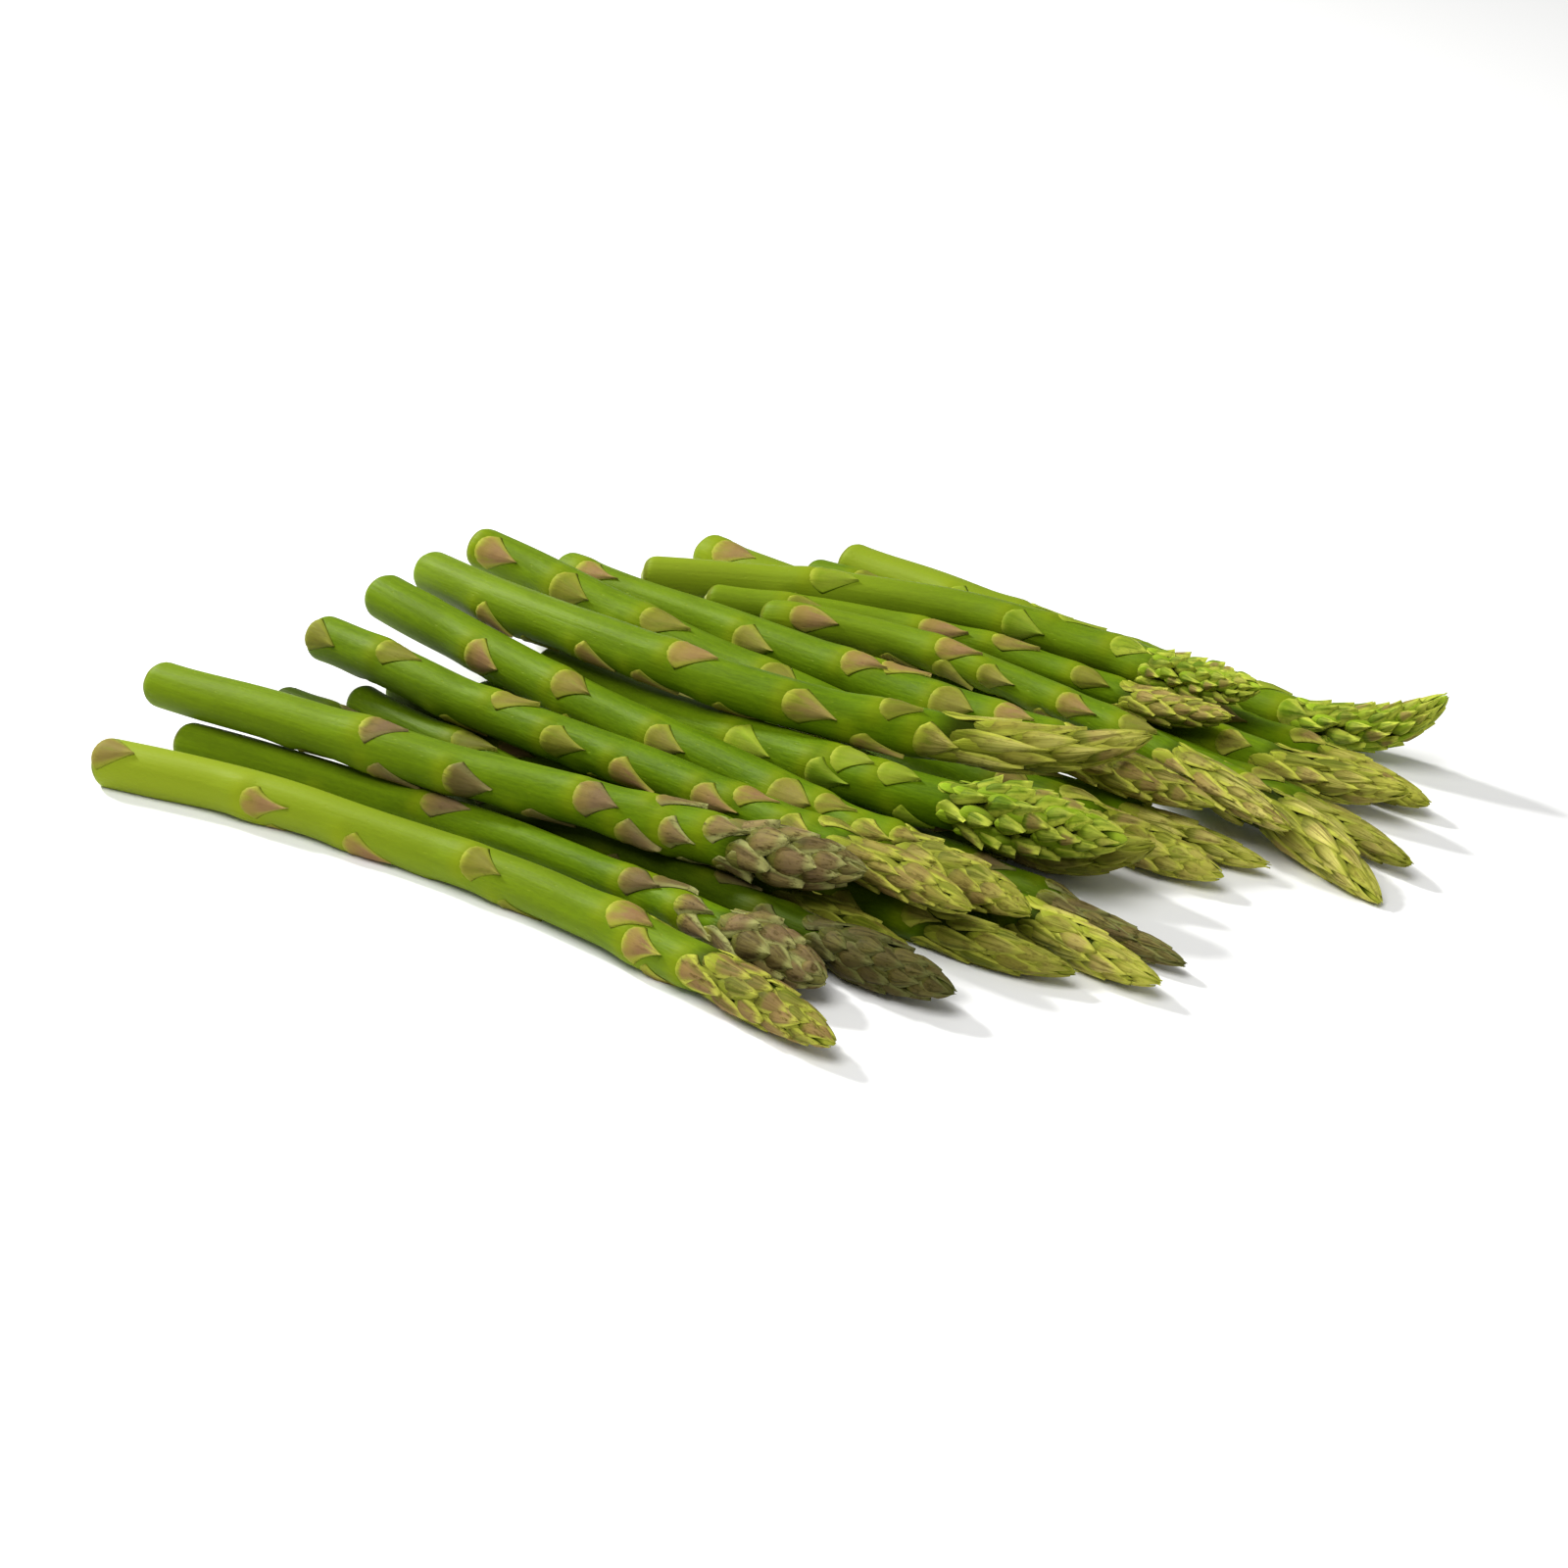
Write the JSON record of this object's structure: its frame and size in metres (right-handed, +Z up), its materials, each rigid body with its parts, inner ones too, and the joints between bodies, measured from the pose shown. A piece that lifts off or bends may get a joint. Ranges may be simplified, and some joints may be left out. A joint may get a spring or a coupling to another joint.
{
  "type": "bundle of asparagus",
  "caption": "Loose bundle of fresh green asparagus spears lying in a heap, with trimmed ends on one side and pointed, scaly heads on the other.",
  "frame": {"origin": "on the surface the bundle lies on, under the middle of the bundle's bounding box", "axes": "+X from the trimmed ends to the heads, +Y across the bundle towards its back, +Z up"},
  "size_m": [0.26, 0.211, 0.0313],
  "materials": {
    "green_spear": "satin",
    "open_tipped_spear": "satin",
    "purple_tipped_spear": "satin"
  },
  "bodies": {
    "root": {"spear_01": "green_spear", "spear_02": "purple_tipped_spear", "spear_03": "purple_tipped_spear", "spear_04": "purple_tipped_spear", "spear_05": "green_spear", "spear_06": "green_spear", "spear_07": "green_spear", "spear_08": "green_spear", "spear_09": "green_spear", "spear_10": "purple_tipped_spear", "spear_11": "open_tipped_spear", "spear_12": "green_spear", "spear_13": "green_spear", "spear_14": "green_spear", "spear_15": "green_spear", "spear_16": "green_spear", "spear_17": "green_spear", "spear_18": "green_spear", "spear_19": "green_spear", "spear_20": "green_spear", "spear_21": "open_tipped_spear", "spear_22": "green_spear", "spear_23": "green_spear", "spear_24": "open_tipped_spear"}
  },
  "joints": []
}
